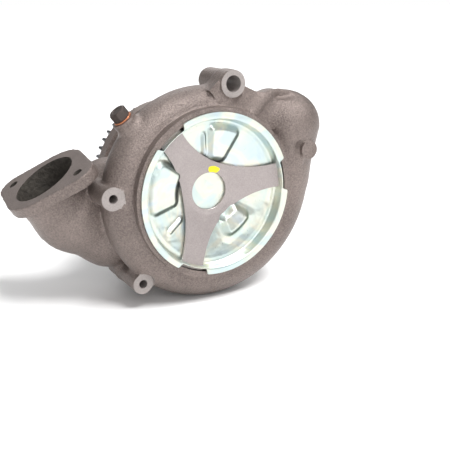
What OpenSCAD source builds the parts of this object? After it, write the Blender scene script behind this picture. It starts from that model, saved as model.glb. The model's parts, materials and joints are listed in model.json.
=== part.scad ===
// Gear-driven coolant pump of a heavy diesel engine.
// The shaft lies along Y. The sheet-metal cover faces -Y, the drive gear +Y, and +Z is up.
// The origin is on the shaft axis, in the rear mounting face.

/* [Housing] */
// Distance from the rear mounting face to the front ring face
housing_depth = 117.5; // [116:0.5:119]
// Outer radius of the front ring
ring_r = 84; // [83:0.5:86]
// Outer radius of the volute where it starts, near the top
volute_start_r = 98; // [96:0.5:100]
// Growth of the volute's outer radius over its whole turn
volute_growth = 25; // [20:1:28]
// Radius of the volute tube where it starts
volute_tube_r = 22; // [21:0.5:23]
// Wall thickness of the casting
wall = 5; // [4:0.5:6]

/* [Inlet elbow] */
// Bore radius of the inlet
inlet_r = 32; // [28:0.5:33]
// Direction of the inlet flange's normal, from +X towards +Z
inlet_angle = 124; // [122:1:126]
// Distance of each flange bolt hole from the inlet's centre
inlet_bolt_r = 50; // [49:0.5:52]
// Radius of the flange bolt holes
inlet_hole_r = 4.5; // [4:0.1:5]
// Thickness of the inlet flange
inlet_flange_t = 11; // [9:0.5:12]

/* [Outlet] */
// Bore radius of the outlet port
outlet_r = 22; // [20:0.5:24]
// Outer radius of the outlet bulge
outlet_bulge_r = 35; // [34:0.5:37]

/* [Mounting] */
// Radius of the rear pilot
pilot_r = 76; // [76:0.5:78]
// Length of the rear pilot
pilot_len = 7; // [6:0.5:7]
// Radius of the circle of rear bolt holes
rear_bolt_r = 90; // [88:0.5:91]
// Tapping radius of the rear bolt holes and of the two front bosses
tapped_r = 4.25; // [4:0.05:4.5]
// Radius of the hole through the top lug
lug_hole_r = 8; // [7:0.1:8.5]
// Length of the top lug
lug_len = 52; // [48:1:54]

/* [Cover] */
// Outer radius of the cover's flange
cover_r = 80; // [79:0.5:81]
// Depth of the cover's centre below the flange
cover_depth = 22; // [20:0.5:22.5]
// Thickness of the cover sheet
sheet_t = 1.5; // [1.2:0.1:1.6]
// Radius of the hole in the middle of the spring star
star_hole_r = 18.6; // [17:0.2:20]
// Width of each arm of the spring star at its narrowest
star_arm_w = 24; // [22:0.5:27]

/* [Gear and shaft] */
// Number of teeth on the drive gear
gear_teeth = 46; // [44:1:46]
// Gear module
gear_module = 3; // [2.9:0.05:3]
// Face width of the gear
gear_width = 18; // [14:1:20]
// Radius of the shaft in the bearings
shaft_r = 12.5; // [12.4:0.1:12.5]
// Outer radius of the impeller
impeller_r = 62; // [58:1:63]
// Number of impeller vanes
vane_count = 7; // [5:1:8]

/* [Hidden] */
$fn = 96;
hull_fn = 32;
eps = 0.5;              // overrun of a cutter past a face

// Places along the shaft
ring_y = -housing_depth;
volute_y = -85;         // middle plane of the volute
eye_wall = [-72, -64];  // wall between the volute and the inlet chamber
ledge_y = -12;          // seat of the bearing carrier
duct_y = -38;           // middle plane of the inlet elbow
boss_y = [-106, -98];   // faces of the left and bottom tapped bosses
lug_y = -108;           // front face of the top lug
port_y = -48;           // face of the outlet port
flange_front_y = -14;   // front side of the rear flange

// Volute
volute_from = 80;       // angle where the scroll starts, degrees
volute_turn = 285;      // angle it turns through
volute_steps = 19;
channel_mid_r = 77;      // mid radius of the water channel
tube_growth = 6;
function scroll_r(f) = volute_start_r + volute_growth * pow(f, 1.5);
function tube_r(f) = volute_tube_r + tube_growth * f;
chamber_r = 66;         // bore round the impeller
eye_r = 34;
inlet_chamber_r = 49;
body_r = 70;            // outside of the rear body
flange_r = 80;
seat_r = 62;            // bore that takes the carrier
cover_bore_r = 77.5;
cover_bore_depth = 14;
channel_r = 16;         // section radius of the water channel

// Bosses, as [x, z]
lug_at = [23, 104];
lug_r = 13.3;
left_boss_at = [-102.1, 5.6];
bottom_boss_at = [-72.1, -85.5];
boss_r = [11.2, 10.2];
side_pad_at = [106.5, 34];
side_pad_r = 8.5;
outlet_at = [99, 56];
scroll_end = [96, 5];
bend_relief = 0.6;      // how much a ball at a bend is wider than the passages it joins
port_seat_r = 24;       // seat for the connecting sleeve
port_seat_len = 12;
rear_ear_angles = [60, 180, 300];
ear_r = 11;
tapped_depth = 24;

// Inlet elbow, as [x, z]
inlet_at = [-146, 16.3];
elbow_mid = [-119, -21];
elbow_end = [-83, -44];
elbow_top = [-80, -6];
flange_mid_r = 44;
flange_end_r = 16.5;
flange_twist = -62.7;   // turn of the flange's long axis about its normal

// Vent plug
plug_at = [-81.4, -85, 74.9];
plug_angle = 128;
plug_boss_r = 11.5;
plug_thread_r = 6;
plug_hex_af = 15;
plug_hex_h = 9;
washer_r = 9;
washer_t = 1.5;

// Cover and star
cover_flange_t = 2;
cover_front_y = ring_y - cover_flange_t;
pan_wall_r = 73.5;
pan_step = 11;          // depth of the pan's outer step
pan_centre_r = 23;
star_arm_angles = [9, 129, 249];
star_t = 2.5;
star_end_r = 77.2;
star_hollow_at = 29.5;  // distance from the axis to the middle of each hollow between arms
// radius of the hollows, which leaves the arms as wide as asked
star_hollow_r = (star_hollow_at * sin(60) - star_arm_w / 2) / (1 - sin(60));
notch_y = [ring_y + 2.2, ring_y + 6.4];
notch_r = 78.4;

// Bearings and seals
carrier_nose_r = 32;
carrier_front_y = -50;
carrier_rear_y = 9;
carrier_plate = [-11.9, -4];
bearing_r = 26;
bearing_w = 15;
front_bearing_y = -36;
rear_bearing_y = -8;
inner_race_r = 16.6;
outer_race_r = 21.9;
ball_path_r = 19.25;
ball_r = 3.9;
ball_gap = 0.08;
ball_count = 9;
screw_count = 6;
screw_circle_r = 55.3;
screw_r = 3;
seal_bore_r = 19;
shaft_front_y = -92;
shaft_seal_r = 10;
shaft_nose_r = 9;
gear_seat_r = 11;
thread_r = 8;

// Gear
gear_y = 11;
gear_pitch_r = gear_module * gear_teeth / 2;
gear_tip_r = gear_pitch_r + gear_module;
gear_root_r = gear_pitch_r - 1.25 * gear_module;
gear_hub_r = 24;
gear_rim_in_r = 56;
gear_web_t = 8;
key_w = 6;
key_h = 5;

casting = [0.55, 0.5, 0.47];
steel = [0.62, 0.62, 0.63];
dark_steel = [0.27, 0.29, 0.28];
zinc = [0.78, 0.82, 0.85];
black_rubber = [0.12, 0.12, 0.12];

// ---- helpers ----

// A round bar along Y from y0 to y1, on the axis through [x, z] = at
module rod(y0, y1, r, at = [0, 0]) {
  translate([at[0], y1, at[1]]) rotate([90, 0, 0]) cylinder(h = y1 - y0, r = r);
}

// A tube along Y
module tube(y0, y1, r, bore) {
  difference() {
    rod(y0, y1, r);
    rod(y0 - eps, y1 + eps, bore);
  }
}

// A flat outline in X and Z, from y0 to y1
module plate(y0, y1) {
  translate([0, y1, 0]) rotate([90, 0, 0]) linear_extrude(y1 - y0) children();
}

// A profile of radius and Y, turned about the shaft axis
module turned() {
  rotate([-90, 0, 0]) rotate_extrude() children();
}

// A ring of round section about the shaft axis
module round_ring(y, r, section_r) {
  turned() translate([r, y]) circle(section_r);
}

// Children placed at each angle about the shaft axis, from +X towards +Z
module around(angles) {
  for (a = angles) rotate([0, -a, 0]) children();
}

function spaced(n, first = 0) = [for (i = [0 : n - 1]) first + i * 360 / n];

// Children drawn along +Z, moved to [x, z] = at in the plane y and turned to the angle
module facing(at, y, angle) {
  translate([at[0], y, at[1]]) rotate([0, 90 - angle, 0]) children();
}

// ---- housing ----

// The scroll: sectors of ring with growing radius and section, each running on a little into the next
module scroll() {
  step = volute_turn / volute_steps;
  for (i = [0 : volute_steps - 1]) {
    f = i / (volute_steps - 1);
    translate([0, volute_y, 0]) rotate([90, 0, 0]) rotate([0, 0, volute_from + i * step])
      rotate_extrude(angle = step + 1) translate([scroll_r(f) - tube_r(f), 0]) circle(tube_r(f));
  }
}

// Outline of a two-bolt flange: a round middle and two round ends joined by tangents
module flange_outline() {
  lean = acos((flange_mid_r - flange_end_r) / inlet_bolt_r);
  circle(flange_mid_r);
  for (side = [0, 180]) rotate(side) {
    translate([inlet_bolt_r, 0]) circle(flange_end_r);
    polygon([
      [0, 0],
      flange_mid_r * [cos(lean), -sin(lean)],
      [inlet_bolt_r, 0] + flange_end_r * [cos(lean), -sin(lean)],
      [inlet_bolt_r, 0] + flange_end_r * [cos(lean), sin(lean)],
      flange_mid_r * [cos(lean), sin(lean)]
    ]);
  }
}

module ball_at(at, y, r) {
  translate([at[0], y, at[1]]) sphere(r, $fn = hull_fn);
}

module inlet_elbow() {
  pipe_r = inlet_r + wall;
  facing(inlet_at, duct_y, inlet_angle) rotate(flange_twist)
    translate([0, 0, -inlet_flange_t]) linear_extrude(inlet_flange_t) flange_outline();
  hull() {
    facing(inlet_at, duct_y, inlet_angle)
      translate([0, 0, 3 - inlet_flange_t]) cylinder(h = 1, r = pipe_r, $fn = hull_fn);
    ball_at(elbow_mid, duct_y, pipe_r);
  }
  hull() {
    ball_at(elbow_mid, duct_y, pipe_r - 1);
    ball_at(elbow_end, duct_y, pipe_r - 1);
    ball_at(elbow_top, duct_y, pipe_r - 3);
  }
}

module inlet_passage() {
  run = norm(elbow_mid - inlet_at);
  facing(inlet_at, duct_y, inlet_angle) {
    translate([0, 0, -run]) cylinder(h = run + eps, r = inlet_r);
    for (side = [0, 180]) rotate(flange_twist + side)
      translate([inlet_bolt_r, 0, -inlet_flange_t - 3]) cylinder(h = inlet_flange_t + 4, r = inlet_hole_r);
  }
  bend = elbow_end - elbow_mid;
  translate([elbow_mid[0], duct_y, elbow_mid[1]]) sphere(inlet_r + bend_relief);
  facing(elbow_mid, duct_y, atan2(bend[1], bend[0])) cylinder(h = norm(bend), r = inlet_r - 2);
  translate([elbow_end[0], duct_y, elbow_end[1]]) sphere(inlet_r - 2 + bend_relief);
  translate([elbow_end[0], duct_y, elbow_end[1] / 2]) rotate([0, 90, 0])
    cylinder(h = -elbow_end[0], r = inlet_chamber_r / 2 - 2);
}

module outlet_bulge() {
  hull() {
    ball_at(outlet_at, volute_y, outlet_bulge_r);
    ball_at(scroll_end, volute_y, tube_r(1) - 1);
    rod(port_y - 6, port_y - 5, outlet_bulge_r - 1, outlet_at, $fn = hull_fn);
  }
  rod(port_y - 8, port_y, outlet_bulge_r - 2, outlet_at);
}

module top_lug() {
  rod(lug_y, lug_y + lug_len, lug_r, lug_at);
  // webs to the scroll and to the outlet bulge
  plate(lug_y + 8, lug_y + lug_len - 6) {
    polygon([[lug_at[0] - 9, lug_at[1] + 8], [lug_at[0] - 20, 82], [60, 70], [90, 86], [lug_at[0] + 9, lug_at[1] + 8]]);
  }
}

module housing_body() {
  rod(ring_y, eye_wall[1], ring_r);
  scroll();
  rod(volute_y, flange_front_y, body_r);
  rod(flange_front_y, 0, flange_r);
  rod(-1, pilot_len, pilot_r);
  around(rear_ear_angles) {
    rod(flange_front_y - tapped_depth, 0, ear_r, [rear_bolt_r, 0]);
    translate([body_r - 10, flange_front_y - tapped_depth, 1 - ear_r])
      cube([rear_bolt_r - body_r + 10, tapped_depth - flange_front_y - 1, 2 * ear_r - 2]);
  }
  inlet_elbow();
  outlet_bulge();
  top_lug();
  rod(boss_y[0], duct_y, boss_r[0], left_boss_at);
  hull() {
    rod(boss_y[1] + 15, flange_front_y - 2, boss_r[1] - 1, bottom_boss_at, $fn = hull_fn);
    rod(volute_y, flange_front_y - 2, boss_r[1] - 1, 0.7 * bottom_boss_at, $fn = hull_fn);
  }
  rod(boss_y[1], duct_y, boss_r[1], bottom_boss_at);
  rod(ring_y - 0.8, volute_y, side_pad_r, side_pad_at);
  translate(plug_at) rotate([0, 90 - plug_angle, 0]) translate([0, 0, -26]) cylinder(h = 26, r = plug_boss_r);
}

module housing_voids() {
  // front bore, water channel and outlet
  rod(ring_y - eps, ring_y + cover_bore_depth, cover_bore_r);
  rod(notch_y[0], notch_y[1], notch_r);
  rod(ring_y, eye_wall[0], chamber_r);
  translate([0, volute_y, 0]) rotate([90, 0, 0]) rotate_extrude() translate([channel_mid_r, 0]) circle(channel_r);
  translate([0, volute_y, 0]) rotate([90, 0, 0]) rotate([0, 0, -70]) rotate_extrude(angle = 75)
    translate([channel_mid_r + 10, 0]) circle(channel_r + 3);
  outlet_run = outlet_at - scroll_end;
  translate([scroll_end[0], volute_y, scroll_end[1]]) sphere(outlet_r - 2 + bend_relief);
  facing(scroll_end, volute_y, atan2(outlet_run[1], outlet_run[0]))
    cylinder(h = norm(outlet_run), r = outlet_r - 2);
  translate([outlet_at[0], volute_y, outlet_at[1]]) sphere(outlet_r + bend_relief);
  rod(volute_y, port_y + eps, outlet_r, outlet_at);
  rod(port_y - port_seat_len, port_y + eps, port_seat_r, outlet_at);
  // eye, inlet chamber and carrier seat
  rod(eye_wall[0] - eps, eye_wall[1] + eps, eye_r);
  rod(eye_wall[1], ledge_y + eps, inlet_chamber_r);
  rod(ledge_y, pilot_len + eps, seat_r);
  inlet_passage();
  // pilot groove and fastener holes
  difference() {
    rod(2, 5, pilot_r + eps);
    rod(2 - eps, 5 + eps, pilot_r - 2.2);
  }
  around(spaced(screw_count, 30)) rod(ledge_y - 14, ledge_y + eps, screw_r, [screw_circle_r, 0]);
  around([0, 180]) rod(ledge_y - 6, ledge_y + eps, 2.5, [screw_circle_r, 0]);
  around(rear_ear_angles) rod(-tapped_depth, eps, tapped_r, [rear_bolt_r, 0]);
  rod(lug_y - eps, lug_y + lug_len + eps, lug_hole_r, lug_at);
  rod(boss_y[0] - eps, boss_y[0] + tapped_depth, tapped_r, left_boss_at);
  rod(boss_y[1] - eps, boss_y[1] + tapped_depth, tapped_r, bottom_boss_at);
  translate(plug_at) rotate([0, 90 - plug_angle, 0]) translate([0, 0, -19]) cylinder(h = 20, r = plug_thread_r + 0.1);
}

module pump_housing() {
  color(casting) difference() {
    housing_body();
    housing_voids();
  }
}

module vent_plug() {
  color(dark_steel) translate(plug_at) rotate([0, 90 - plug_angle, 0]) {
    translate([0, 0, -14]) cylinder(h = 14 + washer_t, r = plug_thread_r);
    translate([0, 0, washer_t]) cylinder(h = plug_hex_h, d = plug_hex_af / cos(30), $fn = 6);
  }
}

module plug_washer() {
  color([0.7, 0.4, 0.28]) translate(plug_at) rotate([0, 90 - plug_angle, 0]) difference() {
    cylinder(h = washer_t, r = washer_r);
    translate([0, 0, -1]) cylinder(h = washer_t + 2, r = plug_thread_r + 0.1);
  }
}

// ---- cover ----

// Half section of the dished pan, as [radius, y]
module pan_section() {
  y0 = cover_front_y;
  step_y = y0 + pan_step;
  floor_y = y0 + cover_depth;
  polygon([
    [0, floor_y], [pan_centre_r, floor_y], [pan_wall_r - 7, step_y], [pan_wall_r - 2, step_y],
    [pan_wall_r, y0], [pan_wall_r, y0], [cover_r, y0], [cover_r, ring_y], [cover_bore_r - 0.3, ring_y],
    [cover_bore_r - 0.3, ring_y + 1], [pan_wall_r + sheet_t, ring_y + 1],
    [pan_wall_r - 2 + sheet_t, step_y + sheet_t], [pan_wall_r - 7 + sheet_t / 2, step_y + sheet_t],
    [pan_centre_r + sheet_t / 2, floor_y + sheet_t], [0, floor_y + sheet_t]
  ]);
}

module front_cover() {
  gap_w = star_arm_w + 6;
  color(zinc) difference() {
    turned() pan_section();
    around(star_arm_angles) translate([pan_wall_r - 6, cover_front_y - 1, -gap_w / 2])
      cube([20, pan_step + 0.7, gap_w]);
  }
}

module cover_seal_ring() {
  color(black_rubber) round_ring(ring_y + 11.5, cover_bore_r - 1.75, 1.65);
}

// Star outline: three arms with round hollows between them and a hole in the middle
module star_outline() {
  difference() {
    circle(star_end_r);
    for (a = star_arm_angles) rotate(a + 60) translate([star_hollow_at + star_hollow_r, 0])
      circle(star_hollow_r);
    circle(star_hole_r);
  }
}

// Cone-shaped band that the star is cut from
module star_dish() {
  y_end = ring_y + 2.6;
  y_mid = cover_front_y + cover_depth - star_t - 0.4;
  turned() polygon([
    [0, y_mid], [24, y_mid], [star_end_r, y_end],
    [star_end_r, y_end + star_t], [24, y_mid + star_t], [0, y_mid + star_t]
  ]);
}

module cover_spring_star() {
  color([0.68, 0.63, 0.62]) intersection() {
    star_dish();
    plate(ring_y - 10, ring_y + 40) star_outline();
  }
}

module paint_mark() {
  y = cover_front_y + cover_depth - star_t - 0.4;
  color([0.95, 0.9, 0.15]) around([80]) intersection() {
    rod(y - 0.6, y, 4.2, [star_hole_r + 2.2, 0]);
    tube(y - 1, y + 1, 23.8, star_hole_r + 0.2);
  }
}

// ---- bearing carrier and its fixed parts ----

module bearing_carrier() {
  color([0.6, 0.58, 0.56]) difference() {
    union() {
      rod(carrier_front_y, carrier_plate[0], carrier_nose_r);
      rod(carrier_plate[0], carrier_plate[1], seat_r - 0.2);
      rod(carrier_plate[1], carrier_rear_y, carrier_nose_r);
    }
    rod(carrier_front_y - eps, -37, seal_bore_r);
    rod(-38, carrier_rear_y + eps, bearing_r + 0.02);
    around(spaced(screw_count, 30)) rod(carrier_plate[0] - eps, carrier_plate[1] + eps, screw_r + 0.3, [screw_circle_r, 0]);
    around([0, 180]) rod(carrier_plate[0] - eps, carrier_plate[1] + eps, 2.5, [screw_circle_r, 0]);
    difference() {
      rod(-9.5, -6.8, seat_r);
      rod(-10, -6, seat_r - 2.4);
    }
    rod(7.2, 8.8, bearing_r + 1.4);
  }
}

module carrier_seal_ring() {
  color(black_rubber) round_ring(-8.15, seat_r - 1.25, 1.1);
}

module carrier_screws() {
  head_y = carrier_plate[1];
  color(dark_steel) around(spaced(screw_count, 30)) {
    rod(ledge_y - 12, head_y, screw_r - 0.05, [screw_circle_r, 0]);
    difference() {
      rod(head_y, head_y + 5, 4.6, [screw_circle_r, 0]);
      translate([screw_circle_r, head_y + 5.5, 0]) rotate([90, 0, 0]) cylinder(h = 3.5, r = 2.9, $fn = 6);
    }
  }
}

module carrier_dowels() {
  color(steel) around([0, 180]) rod(ledge_y - 5, carrier_plate[1] - 1, 2.45, [screw_circle_r, 0]);
}

module pilot_seal_ring() {
  color(black_rubber) round_ring(3.5, pilot_r - 0.9, 1.25);
}

module oil_seal() {
  color(black_rubber) difference() {
    tube(-44, -37.2, seal_bore_r - 0.05, shaft_r + 0.05);
    tube(-42.5, -36, seal_bore_r - 2.5, shaft_r + 2);
  }
}

module seal_cup() {
  color(steel) difference() {
    rod(-49.8, -44.2, seal_bore_r - 0.05);
    rod(-50.5, -45.2, seal_bore_r - 1.2);
    rod(-51, -43, shaft_r + 0.6);
  }
}

module seal_spring() {
  color(steel) for (i = [0 : 2]) round_ring(-48.6 + i * 1.5, 16.4, 0.6);
}

module seal_carbon_face() {
  color([0.16, 0.16, 0.17]) tube(-53, -45.4, 15.5, shaft_r + 0.6);
}

// ---- bearings ----

module race_section(y, r0, r1) {
  difference() {
    translate([r0, y]) square([r1 - r0, bearing_w]);
    translate([ball_path_r, y + bearing_w / 2]) circle(ball_r + ball_gap);
  }
}

module inner_race(y) {
  color(steel) turned() race_section(y, shaft_r, inner_race_r);
}

module outer_race(y) {
  color(steel) turned() race_section(y, outer_race_r, bearing_r);
}

module ball_set(y) {
  color([0.75, 0.76, 0.78]) around(spaced(ball_count)) translate([ball_path_r, y + bearing_w / 2, 0]) sphere(ball_r);
}

module ball_cage(y) {
  color([0.45, 0.36, 0.2]) difference() {
    tube(y + 3, y + bearing_w - 3, ball_path_r + 1.4, ball_path_r - 1.4);
    around(spaced(ball_count)) translate([ball_path_r - 4, y + bearing_w / 2, 0]) rotate([0, 90, 0])
      cylinder(h = 8, r = ball_r + 0.12);
  }
}

module front_outer_race() { outer_race(front_bearing_y); }
module rear_outer_race() { outer_race(rear_bearing_y); }
module front_inner_race() { inner_race(front_bearing_y); }
module rear_inner_race() { inner_race(rear_bearing_y); }
module front_balls() { ball_set(front_bearing_y); }
module rear_balls() { ball_set(rear_bearing_y); }
module front_ball_cage() { ball_cage(front_bearing_y); }
module rear_ball_cage() { ball_cage(rear_bearing_y); }

module bearing_spacer() {
  color(steel) tube(front_bearing_y + bearing_w, rear_bearing_y, shaft_r + 3, shaft_r);
}

module bearing_circlip() {
  color(dark_steel) difference() {
    tube(7.3, 8.7, bearing_r + 1.3, bearing_r - 2.2);
    translate([bearing_r - 5, 6, -4]) cube([12, 4, 8]);
  }
}

// ---- rotor ----

module pump_shaft() {
  color(steel) difference() {
    union() {
      rod(shaft_front_y, -64, shaft_nose_r);
      rod(-64, -46, shaft_seal_r);
      rod(-46, 9, shaft_r);
      rod(9, gear_y + gear_width, gear_seat_r);
      rod(gear_y + gear_width, gear_y + gear_width + 17, thread_r);
    }
    translate([gear_seat_r - key_h / 2, gear_y + 1, -key_w / 2]) cube([key_h, gear_width - 2, key_w]);
  }
}

// Vanes: each is a piece of a ring that starts at the hub and leans back at the rim
module vane_outline(hub_r) {
  vane_t = 4;
  vane_arc_r = 46;
  arc_at = [impeller_r / 2, vane_arc_r - 12];
  intersection() {
    circle(impeller_r - 1);
    for (a = spaced(vane_count)) rotate(a) difference() {
      translate(arc_at) circle(vane_arc_r);
      translate(arc_at) circle(vane_arc_r - vane_t);
      translate([-40, 14]) square([160, 120]);
      translate([-60, -30]) square([60 + hub_r - 3, 120]);
    }
  }
}

module impeller() {
  hub_r = 16;
  plate_y = [-91, -87.5];
  color([0.5, 0.47, 0.44]) difference() {
    union() {
      rod(plate_y[0], plate_y[1], impeller_r);
      rod(plate_y[0], -66, hub_r);
      plate(plate_y[1] - 1, -73) vane_outline(hub_r);
    }
    rod(shaft_front_y - 1, -60, shaft_nose_r);
  }
}

module seal_seat_ring() {
  color([0.85, 0.83, 0.78]) tube(-60, -53.05, 16, shaft_seal_r);
}

// One gear tooth in the radial plane, with straight flanks and a topped tip
module tooth_outline() {
  half_root = gear_module * 1.05;
  half_pitch = gear_module * PI / 4 - 0.05;
  half_tip = gear_module * 0.38;
  polygon([
    [gear_root_r - 1, -half_root], [gear_pitch_r, -half_pitch], [gear_tip_r, -half_tip],
    [gear_tip_r, half_tip], [gear_pitch_r, half_pitch], [gear_root_r - 1, half_root]
  ]);
}

module drive_gear() {
  y1 = gear_y + gear_width;
  web_y = gear_y + (gear_width - gear_web_t) / 2;
  color(dark_steel) difference() {
    plate(gear_y, y1) {
      circle(gear_root_r);
      for (a = spaced(gear_teeth)) rotate(a) tooth_outline();
    }
    for (face = [[gear_y - 1, web_y], [web_y + gear_web_t, y1 + 1]])
      difference() {
        rod(face[0], face[1], gear_rim_in_r);
        rod(face[0] - 1, face[1] + 1, gear_hub_r);
      }
    around(spaced(6)) rod(gear_y, y1, 9, [(gear_rim_in_r + gear_hub_r) / 2, 0]);
    rod(gear_y - 1, y1 + 1, gear_seat_r);
    translate([gear_seat_r - key_h / 2, gear_y - 1, -key_w / 2]) cube([key_h, gear_width + 2, key_w]);
  }
}

module gear_key() {
  color(steel) translate([gear_seat_r - key_h / 2, gear_y + 1, -key_w / 2]) cube([key_h, gear_width - 2, key_w]);
}

module gear_washer() {
  y = gear_y + gear_width;
  color(steel) tube(y, y + 3, 15, thread_r);
}

module gear_nut() {
  y = gear_y + gear_width + 3;
  color(dark_steel) difference() {
    translate([0, y + 11, 0]) rotate([90, 0, 0]) cylinder(h = 11, d = 24 / cos(30), $fn = 6);
    rod(y - 1, y + 12, thread_r);
  }
}

pump_housing();
vent_plug();
plug_washer();
front_cover();
cover_seal_ring();
cover_spring_star();
paint_mark();
bearing_carrier();
carrier_seal_ring();
carrier_screws();
carrier_dowels();
pilot_seal_ring();
oil_seal();
seal_cup();
seal_spring();
seal_carbon_face();
front_outer_race();
rear_outer_race();
bearing_circlip();
front_balls();
front_ball_cage();
rear_balls();
rear_ball_cage();
pump_shaft();
impeller();
seal_seat_ring();
front_inner_race();
rear_inner_race();
bearing_spacer();
drive_gear();
gear_key();
gear_washer();
gear_nut();
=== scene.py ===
import json
import math

import bmesh
import bpy
import numpy as np
from bpy.props import FloatProperty, FloatVectorProperty, IntProperty, PointerProperty
from mathutils import Matrix, Vector


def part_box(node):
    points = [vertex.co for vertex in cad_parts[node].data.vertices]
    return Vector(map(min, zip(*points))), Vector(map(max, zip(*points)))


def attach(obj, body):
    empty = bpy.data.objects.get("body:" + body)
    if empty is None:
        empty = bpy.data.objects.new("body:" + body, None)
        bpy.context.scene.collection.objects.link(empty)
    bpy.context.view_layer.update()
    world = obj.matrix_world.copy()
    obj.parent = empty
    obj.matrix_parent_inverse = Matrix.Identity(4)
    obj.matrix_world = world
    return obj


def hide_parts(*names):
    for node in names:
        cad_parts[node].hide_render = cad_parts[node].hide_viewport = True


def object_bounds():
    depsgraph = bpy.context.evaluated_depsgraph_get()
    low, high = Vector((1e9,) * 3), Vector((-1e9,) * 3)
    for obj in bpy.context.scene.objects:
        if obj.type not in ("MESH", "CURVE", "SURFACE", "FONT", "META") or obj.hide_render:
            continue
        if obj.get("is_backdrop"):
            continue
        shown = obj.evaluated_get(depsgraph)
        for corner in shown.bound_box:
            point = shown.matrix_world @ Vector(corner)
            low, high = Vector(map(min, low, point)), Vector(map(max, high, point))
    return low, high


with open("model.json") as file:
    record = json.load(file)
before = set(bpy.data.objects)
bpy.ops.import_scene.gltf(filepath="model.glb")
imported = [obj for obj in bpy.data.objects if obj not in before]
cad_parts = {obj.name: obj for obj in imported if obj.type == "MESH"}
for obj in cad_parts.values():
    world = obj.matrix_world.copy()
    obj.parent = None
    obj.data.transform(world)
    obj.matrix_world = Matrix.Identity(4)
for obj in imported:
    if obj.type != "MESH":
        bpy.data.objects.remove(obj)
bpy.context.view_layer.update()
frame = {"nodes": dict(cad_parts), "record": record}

bl_info = {
    "name": "Coolant pump",
    "version": (1, 0, 0),
    "blender": (4, 5, 0),
    "location": "3D View > Sidebar > Pump",
    "description": "Builds the visible pieces of a gear-driven coolant pump round its CAD frame",
    "category": "Object",
}

# All places and sizes below are in millimetres unless a property says otherwise. The shaft lies along Y,
# the cover faces -Y, and places in a plane across the shaft are given as (x, z).
MM = 0.001

# ---- places shared by several pieces ----
RING_Y = -117.5  # front face of the casting
RING_R = 84.0
COVER_BORE_R = 77.5
VOLUTE_Y = -85.0
EYE_WALL = (-72.0, -64.0)
LEDGE_Y = -12.0
FLANGE_FRONT_Y = -14.0
PILOT_LENGTH = 7.0
PILOT_R = 76.0
BODY_R = 70.0
REAR_FLANGE_R = 80.0
EAR_CIRCLE_R = 90.0
EAR_R = 11.0
EAR_FRONT_Y = -38.0
TAP_R = 4.25
TAP_DEPTH = 24.0
DUCT_Y = -38.0
PORT_Y = -48.0
LEFT_BOSS_Y = -106.0
BOTTOM_BOSS_Y = -98.0
SIDE_PAD_Y = -118.3
LUG_Y = (-108.0, -56.0)
LUG_AT = (23.0, 104.0)
LUG_HOLE_R = 8.0
LEFT_BOSS_AT = (-102.1, 5.6)
LEFT_BOSS_R = 11.2
BOTTOM_BOSS_AT = (-72.1, -85.5)
BOTTOM_BOSS_R = 10.2
SIDE_PAD_AT = (106.5, 34.0)
SIDE_PAD_R = 9.3
OUTLET_AT = (99.0, 56.0)
OUTLET_R = 22.0
PORT_R = 24.0
SCROLL_END = (96.0, 5.0)
INLET_AT = (-146.0, 16.3)
INLET_ANGLE = 124.0
INLET_R = 32.0
INLET_BOLT_REACH = 50.0
INLET_BOLT_R = 4.5
FLANGE_TWIST = -62.7
ELBOW_MID = (-119.0, -21.0)
ELBOW_END = (-83.0, -44.0)
ELBOW_TOP = (-80.0, -6.0)
PLUG_AT = (-81.4, -85.0, 74.9)
PLUG_ANGLE = 128.0
PLUG_BOSS_R = 11.5
PLUG_THREAD_R = 6.0
WASHER_T = 1.5
REAR_EARS = (60.0, 180.0, 300.0)
STAR_ARMS = (9.0, 129.0, 249.0)
STAR_MID_Y = -100.4
STAR_RIM_Y = -114.9
STAR_RIM_R = 77.2
STAR_HOLE_R = 18.6
STAR_FLAT_R = 24.0
STAR_SHEET = 2.5
STAR_WAIST_R = 29.5
STAR_HOLLOW_R = 101.3


# ---- settings that a user would change ----


class CastingSettings(bpy.types.PropertyGroup):
    cell: FloatProperty(
        name="Cell", description="Spacing of the lattice that the casting's skin is laid on",
        default=0.0022, unit="LENGTH", subtype="DISTANCE")
    fillet: FloatProperty(
        name="Fillet", description="Reach of the blend where two cast shapes meet",
        default=0.006, unit="LENGTH", subtype="DISTANCE")
    light: FloatVectorProperty(
        name="Light skin", description="Colour of the raised grains of the cast skin",
        default=(0.32, 0.262, 0.238), size=3, subtype="COLOR")
    dark: FloatVectorProperty(
        name="Dark skin", description="Colour of the cast skin between its grains",
        default=(0.085, 0.066, 0.059), size=3, subtype="COLOR")


class CoverSettings(bpy.types.PropertyGroup):
    pad_height: FloatProperty(
        name="Pad height", description="How far the pressed pads stand above the pan's floor",
        default=0.0062, unit="LENGTH", subtype="DISTANCE")
    sheet: FloatProperty(
        name="Sheet", description="Thickness of the pressed sheet",
        default=0.0015, unit="LENGTH", subtype="DISTANCE")
    edge: FloatProperty(
        name="Star edge", description="Rounding along the edges of the spring star",
        default=0.0004, unit="LENGTH", subtype="DISTANCE")
    paint: FloatVectorProperty(
        name="Paint", description="Colour of the inspection paint",
        default=(0.95, 0.86, 0.02), size=3, subtype="COLOR")


class FittingSettings(bpy.types.PropertyGroup):
    plug_chamfer: FloatProperty(
        name="Plug chamfer", description="Height of the chamfer on the corners of the plug's head",
        default=0.0016, unit="LENGTH", subtype="DISTANCE")
    break_edge: FloatProperty(
        name="Broken edge", description="Width of the bevel on the edges of machined parts",
        default=0.0003, unit="LENGTH", subtype="DISTANCE")
    bevel_steps: IntProperty(
        name="Bevel steps", description="Number of faces across each bevel",
        default=2, min=1, max=4)


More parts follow.
